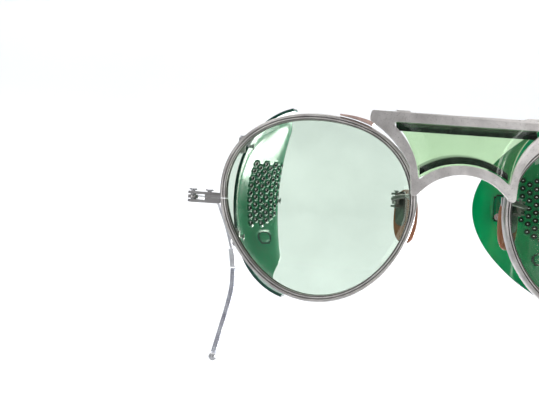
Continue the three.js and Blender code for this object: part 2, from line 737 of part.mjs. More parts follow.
function addTemple(side) {
  const temple = frameAt(side, HINGE.x, HINGE.y, HINGE.z);
  piece(temple, side, 'temple_butt', templeButtGeometry(), NICKEL);
  piece(temple, side, 'temple_wire', templeWireGeometry(), STEEL);
  piece(temple, side, 'cable_ferrule', tube(fromHinge(FERRULE_ROUTE), FERRULE_RADIUS, 4, 6), STEEL);
  piece(temple, side, 'ear_cable', tube(fromHinge(CABLE_ROUTE), CABLE_RADIUS, 20, 5), CABLE);
  piece(temple, side, 'cable_bead', beadGeometry(), STEEL);
}

function addPad(side) {
  const pad = frameAt(side, PAD_X[side.label], PAD.y, PAD.z, -PAD_SPLAY[side.label]);
  piece(pad, side, 'nose_pad', padGeometry(), PAD_CELLULOID);
  piece(pad, side, 'pad_back', padBackGeometry(), NICKEL);
  piece(pad, side, 'pad_pin', padPinGeometry(), STEEL);
}

for (const side of [{ sign: 1, label: 'right' }, { sign: -1, label: 'left' }]) {
  addFront(side);
  addShield(side);
  addTemple(side);
  addPad(side);
}

export default glasses;
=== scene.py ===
"""Glacier glasses: looks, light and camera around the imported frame."""

import math

import bmesh
import bpy
from mathutils import Matrix, Vector


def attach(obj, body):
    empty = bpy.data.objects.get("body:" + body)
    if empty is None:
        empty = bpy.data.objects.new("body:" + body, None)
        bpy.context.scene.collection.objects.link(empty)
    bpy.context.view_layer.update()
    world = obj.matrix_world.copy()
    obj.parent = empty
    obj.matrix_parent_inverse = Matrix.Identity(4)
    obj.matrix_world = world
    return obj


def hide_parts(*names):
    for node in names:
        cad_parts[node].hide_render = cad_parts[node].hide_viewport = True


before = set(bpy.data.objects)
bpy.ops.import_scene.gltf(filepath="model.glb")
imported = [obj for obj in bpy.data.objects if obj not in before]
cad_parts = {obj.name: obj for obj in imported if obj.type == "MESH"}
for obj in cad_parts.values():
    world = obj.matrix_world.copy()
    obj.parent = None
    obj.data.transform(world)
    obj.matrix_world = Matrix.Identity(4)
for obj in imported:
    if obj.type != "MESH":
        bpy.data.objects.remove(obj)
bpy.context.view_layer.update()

MM = 0.001
DEG = math.pi / 180
SIDES = (("right", 1), ("left", -1))

# Where the camera stands, in millimetres, and which way it looks.
CAMERA_PLACE = (-52.33, -311.47, 4.28)
CAMERA_FORWARD = (0.00977, 0.99984, -0.01483)
CAMERA_UP = (-0.0677, 0.0155, 0.9976)

# Sizes shared with the frame, in millimetres.
EYE_X, EYE_Y, WRAP = 37.1, -5.0, 10 * DEG
RIM_SPLIT = 0.25 * DEG
HINGE_Z = -0.1
BLOCK_EDGE = 63.2
SHIELD_HINGE = (57.6, 4.8)
SHIELD_WALL = 0.85
SHIELD_Z = (-26.4, 25.7)
REST_FOLD = {"right": 58 * DEG, "left": 0.0}
PAD = {"y": 1.2, "z": -1.6, "height": 14.4, "width": 8.8, "thickness": 1.1}
PAD_X = {"right": 14.6, "left": 12.8}
PAD_SPLAY = {"right": 46 * DEG, "left": 37 * DEG}
FLOOR_Z = -59.35


# ------------------------------------------------------------------ camera and stage
def add_camera():
    data = bpy.data.cameras.new("camera")
    data.sensor_width = 36
    data.lens = 78.3
    data.clip_start = 0.01
    data.clip_end = 20
    forward = Vector(CAMERA_FORWARD).normalized()
    right = forward.cross(Vector(CAMERA_UP)).normalized()
    up = right.cross(forward)
    turn = Matrix((right, up, -forward)).transposed()
    camera = bpy.data.objects.new("camera", data)
    camera.matrix_world = Matrix.Translation(Vector(CAMERA_PLACE) * MM) @ turn.to_4x4()
    bpy.context.scene.collection.objects.link(camera)
    bpy.context.scene.camera = camera


def add(tree, kind, inputs=None, **settings):
    node = tree.nodes.new(kind)
    for key, value in settings.items():
        setattr(node, key, value)
    for key, value in (inputs or {}).items():
        if isinstance(value, bpy.types.NodeSocket):
            tree.links.new(value, node.inputs[key])
        else:
            node.inputs[key].default_value = value
    return node


def blank(name):
    made = bpy.data.materials.new(name)
    made.use_nodes = True
    tree = made.node_tree
    return made, tree, tree.nodes["Principled BSDF"], tree.nodes["Material Output"]


def ramp(tree, value, *stops):
    node = add(tree, "ShaderNodeValToRGB", {"Fac": value})
    elements = node.color_ramp.elements
    while len(elements) < len(stops):
        elements.new(0.5)
    for element, (place, color) in zip(elements, stops):
        element.position = place
        element.color = (*color, 1) if len(color) == 3 else color
    return node.outputs["Color"]


def grey(value):
    return (value, value, value)


def noise(tree, scale, detail=4, stretch=None, roughness=0.55):
    place = add(tree, "ShaderNodeTexCoord").outputs["Object"]
    if stretch:
        place = add(tree, "ShaderNodeMapping", {"Vector": place, "Scale": stretch}).outputs[0]
    settings = {"Vector": place, "Scale": scale, "Detail": detail, "Roughness": roughness}
    return add(tree, "ShaderNodeTexNoise", settings).outputs["Fac"]


def mix(tree, fac, first, second, blend="MIX"):
    node = add(tree, "ShaderNodeMix", data_type="RGBA", blend_type=blend)
    for index, value in ((0, fac), (6, first), (7, second)):
        if isinstance(value, bpy.types.NodeSocket):
            tree.links.new(value, node.inputs[index])
        elif index == 0:
            node.inputs[0].default_value = value
        else:
            node.inputs[index].default_value = (*value, 1)
    return node.outputs[2]


def bump(tree, height, strength, distance=0.0001):
    inputs = {"Height": height, "Strength": strength, "Distance": distance}
    return add(tree, "ShaderNodeBump", inputs).outputs["Normal"]


def metal(name, bright, dull, rough=(0.24, 0.46), pits=0.35, patina=0.5):
    made, tree, shader, _ = blank(name)
    stain = ramp(tree, noise(tree, 230, 6), (0.36, grey(0)), (0.68, grey(1)))
    color = mix(tree, stain, bright, dull)
    speck = ramp(tree, noise(tree, 2600, 3), (0.58, grey(0)), (0.72, grey(patina)))
    color = mix(tree, speck, color, tuple(c * 0.35 for c in dull))
    edge = add(tree, "ShaderNodeNewGeometry").outputs["Pointiness"]
    worn = ramp(tree, edge, (0.5, grey(0)), (0.58, grey(0.7)))
    color = mix(tree, worn, color, tuple(min(1, c * 1.35) for c in bright))
    tree.links.new(color, shader.inputs["Base Color"])
    shader.inputs["Metallic"].default_value = 1
    brushed = noise(tree, 1500, 5, stretch=(1.0, 5.0, 5.0))
    levels = ramp(tree, brushed, (0.3, grey(rough[0])), (0.7, grey(rough[1])))
    tree.links.new(levels, shader.inputs["Roughness"])
    fine = bump(tree, noise(tree, 4200, 3), pits, 0.00004)
    scratches = add(tree, "ShaderNodeBump", {
        "Height": brushed, "Strength": 0.25, "Distance": 0.00006, "Normal": fine})
    tree.links.new(scratches.outputs["Normal"], shader.inputs["Normal"])
    return made


def clear(name, tint, gloss=1.0, haze=0.0, veil=(0.6, 0.7, 0.62), rough=0.03, ior=1.45):
    """See-through sheet: tint per surface, a mirror's share, and a little dust."""
    made, tree, shader, output = blank(name)
    tree.nodes.remove(shader)
    smear = ramp(tree, noise(tree, 60, 5), (0.35, grey(0.94)), (0.7, grey(1)))
    color = mix(tree, 1.0, tint, smear, "MULTIPLY")
    passed = add(tree, "ShaderNodeBsdfTransparent", {"Color": color})
    dust = add(tree, "ShaderNodeBsdfDiffuse", {"Color": (*veil, 1)})
    dots = ramp(tree, noise(tree, 900, 4), (0.5, grey(haze)), (0.75, grey(haze * 3 + 0.01)))
    body = add(tree, "ShaderNodeMixShader", {0: dots, 1: passed.outputs[0], 2: dust.outputs[0]})
    normal = bump(tree, noise(tree, 25, 2), 0.05, 0.0005)
    mirror = add(tree, "ShaderNodeBsdfGlossy", {
        "Color": (1, 1, 1, 1), "Roughness": rough, "Normal": normal})
    edge = add(tree, "ShaderNodeFresnel", {"IOR": ior, "Normal": normal})
    share = add(tree, "ShaderNodeMath", {0: edge.outputs[0], 1: gloss}, operation="MULTIPLY")
    mixed = add(tree, "ShaderNodeMixShader", {
        0: share.outputs[0], 1: body.outputs[0], 2: mirror.outputs[0]})
    tree.links.new(mixed.outputs[0], output.inputs["Surface"])
    return made


def celluloid(name, front, behind, glow=0.5, rough=(0.06, 0.16), mottle=0.25, gloss=1.0):
    """Coloured plastic under a clear gloss, lit through from behind."""
    made, tree, shader, output = blank(name)
    cloud = ramp(tree, noise(tree, 90, 5), (0.35, grey(1 - mottle)), (0.7, grey(1)))
    color = mix(tree, 1.0, front, cloud, "MULTIPLY")
    tree.links.new(color, shader.inputs["Base Color"])
    shader.inputs["Roughness"].default_value = 0.5
    shader.inputs["Specular IOR Level"].default_value = 0.0
    hair = noise(tree, 1800, 3, stretch=(0.3, 1.0, 4.0))
    normal = bump(tree, hair, 0.12, 0.00003)
    tree.links.new(normal, shader.inputs["Normal"])
    through = mix(tree, 1.0, behind, cloud, "MULTIPLY")
    lit = add(tree, "ShaderNodeBsdfTranslucent", {"Color": through})
    body = add(tree, "ShaderNodeMixShader", {0: glow, 1: shader.outputs[0], 2: lit.outputs[0]})
    levels = ramp(tree, noise(tree, 350, 4), (0.35, grey(rough[0])), (0.75, grey(rough[1])))
    mirror = add(tree, "ShaderNodeBsdfGlossy", {
        "Color": (1, 1, 1, 1), "Roughness": levels, "Normal": normal})
    edge = add(tree, "ShaderNodeFresnel", {"IOR": 1.5, "Normal": normal})
    share = add(tree, "ShaderNodeMath", {0: edge.outputs[0], 1: gloss}, operation="MULTIPLY")
    mixed = add(tree, "ShaderNodeMixShader", {
        0: share.outputs[0], 1: body.outputs[0], 2: mirror.outputs[0]})
    tree.links.new(mixed.outputs[0], output.inputs["Surface"])
    return made


NICKEL = metal("nickel_silver", (0.70, 0.67, 0.65), (0.40, 0.375, 0.36))
# The rim and the small nickel-silver pieces take darker copies of the plate's nickel silver: painted
# shade.
RIM_SILVER_SHADED = metal("rim_silver_shaded", (0.42, 0.40, 0.385), (0.16, 0.15, 0.145))
HINGE_SILVER_SHADED = metal("hinge_silver_shaded", (0.33, 0.32, 0.315), (0.10, 0.095, 0.09), patina=0.9)
STEEL = metal("worn_steel", (0.40, 0.40, 0.41), (0.16, 0.16, 0.17), rough=(0.2, 0.4))
WOUND = metal("wound_steel", (0.42, 0.43, 0.47), (0.12, 0.12, 0.15), rough=(0.25, 0.45), patina=0.9)
BRAZE = metal("braze", (0.50, 0.36, 0.31), (0.25, 0.18, 0.17), rough=(0.4, 0.62), pits=0.6)
LENS = clear("lens_glass", (0.795, 0.86, 0.795), gloss=0.7)
GUARD = clear("guard_celluloid", (0.735, 0.88, 0.685), gloss=1.0, haze=0.02, rough=0.08)
# A much darker copy of the guard's celluloid for its shelf and arch bends: painted shade.
GUARD_BEND_SHADE = clear("guard_bend_shade", (0.02, 0.10, 0.06), gloss=1.0, haze=0.01, rough=0.1)
SHIELD = celluloid("shield_celluloid", (0.0, 0.20, 0.09), (0.0, 0.50, 0.25), glow=0.55,
                   rough=(0.15, 0.26), gloss=0.85)
# Near-black celluloid for the dimples' inner rings and the walls down into the holes: painted shade.
VENT_SHADE = celluloid("vent_shade_celluloid", (0.0, 0.03, 0.014), (0.0, 0.03, 0.012), glow=0.2, gloss=0.3)
# Dark celluloid for the shell's cut edges, its pressed outlines and its curled lip: painted shade.
SHELL_EDGE_SHADE = celluloid("edge_shade_celluloid", (0.005, 0.05, 0.035), (0.0, 0.08, 0.05), glow=0.15, gloss=0.6)
# Near-black metal for the rim's grooves and inner lip: painted shade.
RIM_GROOVE_SHADE = metal("rim_groove_shade", (0.12, 0.11, 0.10), (0.04, 0.035, 0.03), rough=(0.5, 0.7))
PAD_MATERIAL = celluloid("pad_celluloid", (0.44, 0.17, 0.085), (0.6, 0.22, 0.08), glow=0.25,
                         rough=(0.25, 0.45))


# ------------------------------------------------------------------ mesh helpers
def new_object(name, verts, faces, materials, slots=None, sharp=40):
    mesh = bpy.data.meshes.new(name)
    mesh.from_pydata([Vector(v) * MM for v in verts], [], faces)
    for each in materials:
        mesh.materials.append(each)
    if slots:
        mesh.polygons.foreach_set("material_index", slots)
    work = bmesh.new()
    work.from_mesh(mesh)
    bmesh.ops.remove_doubles(work, verts=work.verts, dist=1e-7)
    bmesh.ops.recalc_face_normals(work, faces=work.faces)
    work.to_mesh(mesh)
    work.free()
    mesh.polygons.foreach_set("use_smooth", [True] * len(mesh.polygons))
    mesh.set_sharp_from_angle(angle=sharp * DEG)
    made = bpy.data.objects.new(name, mesh)
    bpy.context.scene.collection.objects.link(made)
    return made


def stands_for(piece, node, body, slot_name):
    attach(piece, body)
    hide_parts(node)


def rings_mesh(rings):
    """Vertices and faces of a skin over rings of points, closed at both ends."""
    count = len(rings[0])
    verts = [p for ring in rings for p in ring]
    faces = []
    last = (len(rings) - 1) * count
    for here in range(0, last, count):
        there = here + count
        for j in range(count):
            k = (j + 1) % count
            faces.append((here + j, there + j, there + k, here + k))
    faces.append(tuple(range(count)))
    faces.append(tuple(last + j for j in reversed(range(count))))
    return verts, faces


def turned(point, angle):
    x, y, z = point
    c, s = math.cos(angle), math.sin(angle)
    return (x * c - y * s, x * s + y * c, z)


def placed(points, origin, angle, sign):
    """Points of the +X side moved into place, mirrored for the -X side."""
    out = []
    for point in points:
        x, y, z = turned(point, angle)
        out.append((sign * (x + origin[0]), y + origin[1], z + origin[2]))
    return out


def spline(points, per_span):
    """Centripetal curve through the points."""
    pts = [Vector(p) for p in points]
    pts = [pts[0] * 2 - pts[1]] + pts + [pts[-1] * 2 - pts[-2]]
    out = []
    for i in range(1, len(pts) - 2):
        a, b, c, d = pts[i - 1:i + 3]
        knots = [0.0]
        for p, q in ((a, b), (b, c), (c, d)):
            knots.append(knots[-1] + max((q - p).length, 1e-6) ** 0.5)
        t0, t1, t2, t3 = knots
        for step in range(per_span):
            t = t1 + (t2 - t1) * step / per_span
            ab = a * ((t1 - t) / (t1 - t0)) + b * ((t - t0) / (t1 - t0))
            bc = b * ((t2 - t) / (t2 - t1)) + c * ((t - t1) / (t2 - t1))
            cd = c * ((t3 - t) / (t3 - t2)) + d * ((t - t2) / (t3 - t2))
            abc = ab * ((t2 - t) / (t2 - t0)) + bc * ((t - t0) / (t2 - t0))
            bcd = bc * ((t3 - t) / (t3 - t1)) + cd * ((t - t1) / (t3 - t1))
            out.append(abc * ((t2 - t) / (t2 - t1)) + bcd * ((t - t1) / (t2 - t1)))
    return out + [pts[-2]]


def tube_rings(path, radius, sides):
    """Rings round a path. `radius` is a number or a function of length and angle."""
    rings, length = [], 0.0
    side = Vector((1, 0, 0))
    for i, point in enumerate(path):
        along = (path[min(i + 1, len(path) - 1)] - path[max(i - 1, 0)]).normalized()
        side = (side - along * side.dot(along)).normalized()
        other = along.cross(side)
        if i:
            length += (point - path[i - 1]).length
        ring = []
        for j in range(sides):
            angle = 2 * math.pi * j / sides
            r = radius(length, angle) if callable(radius) else radius
            ring.append(point + side * (r * math.cos(angle)) + other * (r * math.sin(angle)))
        rings.append(ring)
    return rings


# ------------------------------------------------------------------ rims and lenses
def rim_radius(angle):
    return (25.3 + 0.6 * math.cos(2 * angle) + 0.36 * math.sin(2 * angle)
            + 0.85 * math.sin(3 * angle))


def eye_point(angle, inset, depth):
    r = rim_radius(angle) - inset
    return (r * math.cos(angle), depth, r * math.sin(angle))


RIM_SECTION = (
    (0, 1.0), (0.06, 0.55), (0.2, 0.24), (0.42, 0.06), (0.64, 0.02), (0.82, 0.1), (0.88, 0.3),
    (0.98, 0.3), (1.03, 0.1), (1.18, 0.02), (1.36, 0.04), (1.46, 0.14), (1.5, 0.34), (1.6, 0.34),
    (1.66, 0.16), (1.8, 0.3), (1.8, 0.5), (1.1, 0.5), (1.1, 2.7), (1.8, 2.7), (1.8, 2.86),
    (1.66, 3.08), (1.35, 3.2), (0.5, 3.2), (0.18, 3.04), (0, 2.6),
)
RIM_GROOVES = (6, 7, 12, 13, 15, 16)


def add_rim(label, sign):
    rings = []
    steps = 220
    for i in range(steps + 1):
        angle = RIM_SPLIT + (2 * math.pi - 2 * RIM_SPLIT) * i / steps
        ring = [eye_point(angle, inset, depth) for inset, depth in RIM_SECTION]
        rings.append(placed(ring, (EYE_X, EYE_Y, 0), WRAP, sign))
    verts, faces = rings_mesh(rings)
    count = len(RIM_SECTION)
    # The faces in the grooves and on the inner lip take the near-black metal: painted shade.
    slots = [1 if i < steps * count and i % count in RIM_GROOVES else 0 for i in range(len(faces))]
    rim = new_object(f"{label}_rim_wire", verts, faces, [RIM_SILVER_SHADED, RIM_GROOVE_SHADE], slots, sharp=50)
    stands_for(rim, f"{label}_rim", "front", "nickel_silver")


# Inset and depth of the lens's front from its edge inward, and of its back from there outward.
LENS_FRONT = ((1.4, 1.15), (1.45, 1.05), (3.0, 0.8), (9, 0.8), (17, 0.8))
LENS_BACK = ((17, 2.4), (9, 2.4), (3.0, 2.4), (1.45, 2.15), (1.4, 2.05))


def add_lens(label, sign):
    steps = 160
    section = (*LENS_FRONT, *LENS_BACK)
    verts, faces = [], []
    for inset, depth in section:
        ring = [eye_point(2 * math.pi * j / steps, inset, depth) for j in range(steps)]
        verts += placed(ring, (EYE_X, EYE_Y, 0), WRAP, sign)
    for i in range(len(section)):
        here, there = i * steps, ((i + 1) % len(section)) * steps
        if i == len(LENS_FRONT) - 1:
            faces.append(tuple(here + j for j in range(steps)))
            faces.append(tuple(there + j for j in reversed(range(steps))))
            continue
        for j in range(steps):
            k = (j + 1) % steps
            faces.append((here + j, there + j, there + k, here + k))
    lens = new_object(f"{label}_lens_glass", verts, faces, [LENS], sharp=8)
    stands_for(lens, f"{label}_lens", "front", "green_glass")


# ------------------------------------------------------------------ side shields
VENT = {"u": 26.4, "z": -7.2, "column": 1.64, "pitch": 2.2, "rows": 9}
VENT_STARTS = (0, 0, 0, 0, 1, 1, 3)
VENT_SIDES = 16
# Radius and offset of each ring of a vent, from its foot to the edge of its hole.
VENT_RINGS = ((0.8, 0.0), (0.72, -0.1), (0.61, -0.17), (0.5, -0.17), (0.4, -0.06))
# Centre, half length, radius and direction of the outlines pressed into the shell.
OBLONGS = (((42.6, 2.1), 2.0, 1.7, True), ((30.5, -11.4), 0.5, 1.6, False))
PRESS_HEIGHT = 0.22
# Ridge height above which the shell takes the dark edge celluloid: painted shade along the pressed
# outlines.
PRESS_LINE = 0.125
STEP_U = VENT["column"] / 4
STEP_Z = VENT["pitch"] / 4


def shield_inset(u, z):
    reach = 25.4 if z > 1 else 28.2
    depth = 15 + 5.5 * min(u / 16, 1)
    share = min(abs(z - 1) / reach, 0.9999)
    front = depth * (1 - math.sqrt(1 - share * share)) - 1
    rear = 11 + z * z / 160 - 0.02 * max(u - 42, 0) ** 2
    t = min(max((u - 19.8) / 18.4, 0), 1)
    blend = t * t * (3 - 2 * t)
    return front * (1 - blend) + rear * blend


def shield_span(z):
    return 0.8 + 0.0155 * z * z, 51.2 - 0.052 * abs(z - 1.9) ** 1.905


def oblong_ridge(u, z, centre, half, radius, upright):
    du, dz = u - centre[0], z - centre[1]
    if not upright:
        du, dz = dz, du
    dz -= max(-half, min(half, dz))
    edge = abs(math.hypot(du, dz) - radius)
    return math.exp(-((edge / 0.38) ** 2))


def shield_offset(u, z):
    """The pressed outlines of the keeper's seat and of the plain oblong."""
    return PRESS_HEIGHT * max(oblong_ridge(u, z, *oblong) for oblong in OBLONGS)


def shield_point(u, z, offset=0.0):
    e = 0.01
    slope_u = (shield_inset(u + e, z) - shield_inset(u - e, z)) / (2 * e)
    slope_z = (shield_inset(u, z + e) - shield_inset(u, z - e)) / (2 * e)
    normal = Vector((1, slope_u, slope_z)).normalized()
    place = Vector((-shield_inset(u, z), u, z)) + normal * (shield_offset(u, z) + offset)
    return place


class ShieldGrid:
    """Grid of the shield's middle surface, cut to its outline and round its vents."""

    def __init__(self):
        self.verts, self.faces, self.index = [], [], {}
        self.slots, self.slot = [], 0

    def vertex(self, u, z, offset=0.0):
        z = min(max(z, SHIELD_Z[0]), SHIELD_Z[1])
        front, rear = shield_span(z)
        u = min(max(u, front), rear)
        key = (round(u, 4), round(z, 4))
        if key not in self.index:
            self.index[key] = len(self.verts)
            self.verts.append(shield_point(u, z, offset))
        return self.index[key]

    def face(self, corners):
        unique = list(dict.fromkeys(corners))
        if len(unique) > 2:
            self.faces.append(tuple(unique))
            self.slots.append(self.slot)

    def vent(self, u, z):
        """A dimple raised on the inner side and pierced, in four by four cells."""
        corners = [square_edge(j) for j in range(VENT_SIDES)]
        rings = [[self.vertex(u + x * 2 * STEP_U, z + y * 2 * STEP_Z) for x, y in corners]]
        angles = [math.atan2(y, x) for x, y in corners]
        for radius, offset in VENT_RINGS:
            rings.append([self.vertex(u + radius * math.cos(a), z + radius * math.sin(a), offset)
                          for a in angles])
        for depth, (here, there) in enumerate(zip(rings, rings[1:])):
            # From the third ring inward the dimple takes the near-black celluloid: painted shade in the
            # hole.
            self.slot = 1 if depth > 2 else 0
            for j in range(VENT_SIDES):
                k = (j + 1) % VENT_SIDES
                self.face((here[j], here[k], there[k], there[j]))


def square_edge(j):
    """The j-th of 16 points round a square from -1 to 1."""
    side, step = divmod(j, 4)
    t = -1 + step / 2
    return ((t, -1), (1, t), (-t, 1), (-1, -t))[side]


def shield_levels():
    """Heights of the grid's rows, closer together where the shell curls in."""
    base = VENT["z"] - 2 * STEP_Z
    levels = []
    for m in range(-34, 63):
        low = base + m * STEP_Z
        parts = 3 if abs(low) > 19 else 1
        levels += [(m, low + STEP_Z * i / parts, low + STEP_Z * (i + 1) / parts)
                   for i in range(parts)]
    return levels


def vent_places():
    """Column, lowest row and row count of the staggered vents."""
    for i, start in enumerate(VENT_STARTS):
        for j in range(start, VENT["rows"] - (i % 2)):
            yield i, j, 2 * (i % 2)


def shield_mesh():
    grid = ShieldGrid()
    vented = set()
    for i, j, shift in vent_places():
        vented.update((4 * i + a, 4 * j + shift + b) for a in range(4) for b in range(4))
        grid.vent(VENT["u"] + VENT["column"] * i, VENT["z"] + VENT["pitch"] * (j + shift / 4))
    base = VENT["u"] - 2 * STEP_U
    for m, low, high in shield_levels():
        for k in range(-64, 64):
            if (k, m) in vented:
                continue
            u = base + k * STEP_U
            pressed = shield_offset(u + STEP_U / 2, (low + high) / 2) > PRESS_LINE
            lip = u < 6 and abs(low) > 17
            # Faces on the pressed outlines and on the curled front lip are dark: painted shade.
            grid.slot = 2 if pressed or lip else 0
            grid.face((grid.vertex(u, low), grid.vertex(u + STEP_U, low),
                       grid.vertex(u + STEP_U, high), grid.vertex(u, high)))
    return grid


def add_shield(label, sign, grid):
    place = placed(grid.verts, (*SHIELD_HINGE, 0), REST_FOLD[label], sign)
    # Slots 1 and 3 take the near-black vent celluloid and slots 2 and 4 the dark edge celluloid: both
    # painted shade.
    fills = [SHIELD, VENT_SHADE, SHELL_EDGE_SHADE, VENT_SHADE, SHELL_EDGE_SHADE]
    shell = new_object(f"{label}_shield_shell", place, grid.faces, fills, grid.slots, sharp=60)
    wall = shell.modifiers.new("wall", "SOLIDIFY")
    wall.thickness = SHIELD_WALL * MM * 0.95
    wall.offset = 0
    # The wall's cut edges take the dark edge celluloid: painted shade.
    wall.material_offset_rim = 2
    stands_for(shell, f"{label}_side_shield", f"{label}_shield", "green_celluloid")


# ------------------------------------------------------------------ bridge guard
TRAY_FRONT, TRAY_BACK = -10.6, -5.45
TRAY_WALL = 0.9
SHELF_WALL = 0.75
# Heights of the panel's foot, arch and top, its half width at the foot, and the width of its bent sides.
PANEL = {"low": 8.2, "crown": 12.1, "high": 23.4, "half": 12.2, "bend": 5.5}


def quad(a, b, c, t):
    return tuple((1 - t) ** 2 * p + 2 * t * (1 - t) * q + t * t * r for p, q, r in zip(a, b, c))


def sheet_faces(rows, start):
    count = len(rows[0])
    faces = []
    for i in range(len(rows) - 1):
        for j in range(count - 1):
            a = start + i * count + j
            faces.append((a, a + 1, a + count + 1, a + count))
    return faces


def bend_section(front, reach, rise):
    """Depths and heights of a bend from the panel into a shelf that runs back to `reach`."""
    points = []
    for i in range(9):
        angle = math.pi / 2 * i / 8
        points.append((front + rise * (1 - math.cos(angle)), -rise * (1 - math.sin(angle))))
    for i in range(1, 5):
        points.append((front + rise + (reach - front - rise) * i / 4, 0.12 * i))
    return points


def shelf_path():
    """Places across the top of the tray."""
    half, steps = 18.2, 40
    return [(half * (2 * i / steps - 1), 22.9) for i in range(steps + 1)]


def arch_path():
    """Places along the arch over the nose."""
    steps, path = 60, []
    for i in range(steps + 1):
        s = -1 + 2 * i / steps
        x, z = quad((0, 15.0), (6.3, 15.0), (11.4, 11.4), abs(s))
        path.append((math.copysign(x, s), z))
    return path


def guard_side(z):
    """Half width of the panel at a height."""
    t = min(max((z - PANEL["low"]) / (PANEL["high"] - PANEL["low"]), 0), 1)
    return PANEL["half"] + 1.6 * t + 5.6 * t ** 3


def panel_point(s, t, depth):
    """s runs across from -1 to 1 and t from the arch up to the shelf."""
    x = s * guard_side(PANEL["low"] + (PANEL["high"] - PANEL["low"]) * t)
    arch = PANEL["crown"] - (PANEL["crown"] - PANEL["low"]) * min(abs(x) / PANEL["half"], 1) ** 2
    z = arch + (PANEL["high"] - arch) * t
    x = s * guard_side(z)
    bent = max(abs(x) - guard_side(z) + PANEL["bend"], 0) / PANEL["bend"]
    return (x, TRAY_FRONT + depth + 1.3 * bent ** 2, z)


def guard_panel():
    across, up = 56, 24
    layers = []
    for depth in (0.0, TRAY_WALL):
        layers.append([[panel_point(-1 + 2 * i / across, j / up, depth) for i in range(across + 1)]
                       for j in range(up + 1)])
    front, rear = layers
    rings = [row + list(reversed(behind)) for row, behind in zip(front, rear)]
    return rings_mesh(rings)


def add_guard():
    verts, faces = guard_panel()
    slots = [0] * len(faces)
    for path, rise in ((shelf_path(), 1.7), (arch_path(), 1.2)):
        section = bend_section(TRAY_FRONT + TRAY_WALL / 2, TRAY_BACK, rise)
        loops = []
        for x, z in path:
            top = [(x, y, z + out) for y, out in section]
            loops.append(top + [(x, y, height - SHELF_WALL) for x, y, height in reversed(top)])
        more, skin = rings_mesh(loops)
        start = len(verts)
        verts += more
        faces += [tuple(start + v for v in face) for face in skin]
        # The shelf and the arch take the dark bend celluloid: painted shade.
        slots += [1] * len(skin)
    guard = new_object("bridge_guard_tray", verts, faces, [GUARD, GUARD_BEND_SHADE], slots, sharp=50)
    stands_for(guard, "bridge_guard", "front", "pale_celluloid")


# ------------------------------------------------------------------ temples
WIRE_ROUTE = (
    (69.6, 13.8, -0.3), (68.5, 40, -0.9), (67.2, 76, -1.7), (66.6, 90, -2.1), (65.9, 97, -3.4),
    (64.6, 103, -7), (62.6, 107.5, -12.5), (60.7, 110, -19),
)
CABLE_ROUTE = (
    (59.55, 110.8, -26.5), (59.6, 109.9, -33.5), (60.9, 107.6, -41), (62.6, 104.5, -48.3),
    (64.3, 100.5, -55.6),
)


def wound(length, angle):
    """Fine wire wound over a core, one turn every 0.75 mm."""
    turn = (length / 0.75 - angle / (2 * math.pi)) % 1
    return 0.93 + 0.16 * math.sqrt(max(0.0, 1 - (2 * turn - 1) ** 2))


def add_temple(label, sign):
    for route, radius, sides, per_span, part, fill, slot_name in (
        (WIRE_ROUTE, 0.65, 20, 16, "temple_wire", STEEL, "steel"),
        (CABLE_ROUTE, wound, 20, 96, "ear_cable", WOUND, "steel_cable"),
    ):
        path = [Vector((sign * p.x, p.y, p.z)) for p in spline(route, per_span)]
        verts, faces = rings_mesh(tube_rings(path, radius, sides))
        piece = new_object(f"{label}_{part}_form", verts, faces, [fill], sharp=60)
        stands_for(piece, f"{label}_{part}", f"{label}_temple", slot_name)


# ------------------------------------------------------------------ nose pads
def add_pad(label, sign):
    """A worn oval cushion of celluloid, crowned on both faces."""
    count = 48
    profile = ((0.06, 1.0), (0.4, 0.99), (0.68, 0.95), (0.84, 0.86), (0.93, 0.7), (0.98, 0.46),
               (1.0, 0.15))
    levels = [(r, -t) for r, t in profile] + [(r, t) for r, t in reversed(profile)]
    rings = []
    for r, t in levels:
        ring = []
        for j in range(count):
            angle = 2 * math.pi * j / count
            y = PAD["width"] / 2 * r * soft_power(math.cos(angle))
            z = PAD["height"] / 2 * r * soft_power(math.sin(angle))
            ring.append((t * PAD["thickness"] / 2, y, z))
        rings.append(placed(ring, (PAD_X[label], PAD["y"], PAD["z"]), -PAD_SPLAY[label], sign))
    verts, faces = rings_mesh(rings)
    pad = new_object(f"{label}_nose_pad_form", verts, faces, [PAD_MATERIAL], sharp=70)
    stands_for(pad, f"{label}_nose_pad", f"{label}_pad", "amber_celluloid")


def soft_power(value):
    return math.copysign(abs(value) ** 0.8, value)


# ------------------------------------------------------------------ small metal pieces
def refine(node, body, fill, slot_name, width=0.12, sharp=38, shape=None):
    """The frame's own solid with merged faces and rounded edges."""
    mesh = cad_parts[node].data.copy()
    work = bmesh.new()
    work.from_mesh(mesh)
    bmesh.ops.remove_doubles(work, verts=work.verts, dist=2e-6)
    bmesh.ops.dissolve_limit(work, angle_limit=2 * DEG, verts=work.verts, edges=work.edges)
    bmesh.ops.recalc_face_normals(work, faces=work.faces)
    verts = [v.co / MM for v in work.verts]
    if shape:
        verts = [shape(v) for v in verts]
    work.verts.index_update()
    faces = [tuple(v.index for v in f.verts) for f in work.faces]
    work.free()
    piece = new_object(f"{node}_form", verts, faces, [fill], sharp=sharp)
    soft = piece.modifiers.new("edges", "BEVEL")
    soft.width = width * MM
    soft.segments = 3
    soft.limit_method = "ANGLE"
    soft.angle_limit = 35 * DEG
    soft.harden_normals = True
    stands_for(piece, node, body, slot_name)
    return piece


def closed_seam(point):
    """Draws the halves of the closing block together, and out to the rim they are soldered to."""
    reach, seam, left_open = 0.55, 0.25, 0.03
    if abs(point.x) < BLOCK_EDGE:
        point.x -= math.copysign(reach, point.x)
    rise = point.z - HINGE_Z
    if abs(rise) < seam:
        point.z = HINGE_Z + math.copysign(left_open, rise)
    return point


